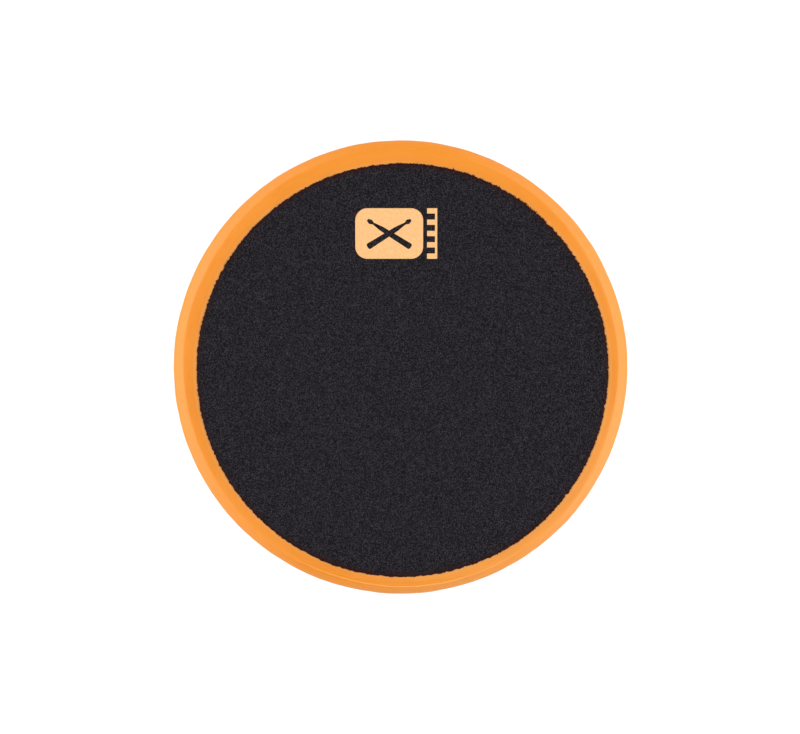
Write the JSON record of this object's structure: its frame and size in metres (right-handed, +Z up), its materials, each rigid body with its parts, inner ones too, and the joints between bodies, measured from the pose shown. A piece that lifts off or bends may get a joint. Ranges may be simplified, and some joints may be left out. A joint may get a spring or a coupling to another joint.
{
  "type": "drum practice pad",
  "caption": "Round drum practice pad with a cloth playing face on a bevelled rubber shell, a non-slip base and a threaded steel insert for a cymbal stand.",
  "frame": {"origin": "centre of the non-slip base's underside, on the surface that the pad lies on", "axes": "+Z up, out of the playing face; +Y from the centre towards the printed marks; +X to the right of a player who reads them upright"},
  "size_m": [0.1524, 0.1524, 0.024],
  "materials": {
    "orange_rubber": "moulded, satin",
    "black_cloth": "woven, matte",
    "print_ink": "screen printed, matte",
    "adhesive": "double-sided film",
    "soft_foam": "closed-cell foam, matte",
    "fibre_board": "medium-density fibre board, sawn edge",
    "zinc_steel": "bright zinc plated",
    "black_rubber": "textured non-slip, matte"
  },
  "bodies": {
    "root": {"rubber_shell": "orange_rubber", "cloth_bond_film": "adhesive", "playing_cloth": "black_cloth", "printed_badge": "print_ink", "printed_ticks": "print_ink", "skin_bond_film": "adhesive", "foam_core": "soft_foam", "foam_bond_film": "adhesive", "base_board": "fibre_board", "stand_insert": "zinc_steel", "insert_screw_1": "zinc_steel", "insert_screw_2": "zinc_steel", "insert_screw_3": "zinc_steel", "base_bond_film": "adhesive", "grip_base": "black_rubber"}
  },
  "joints": []
}
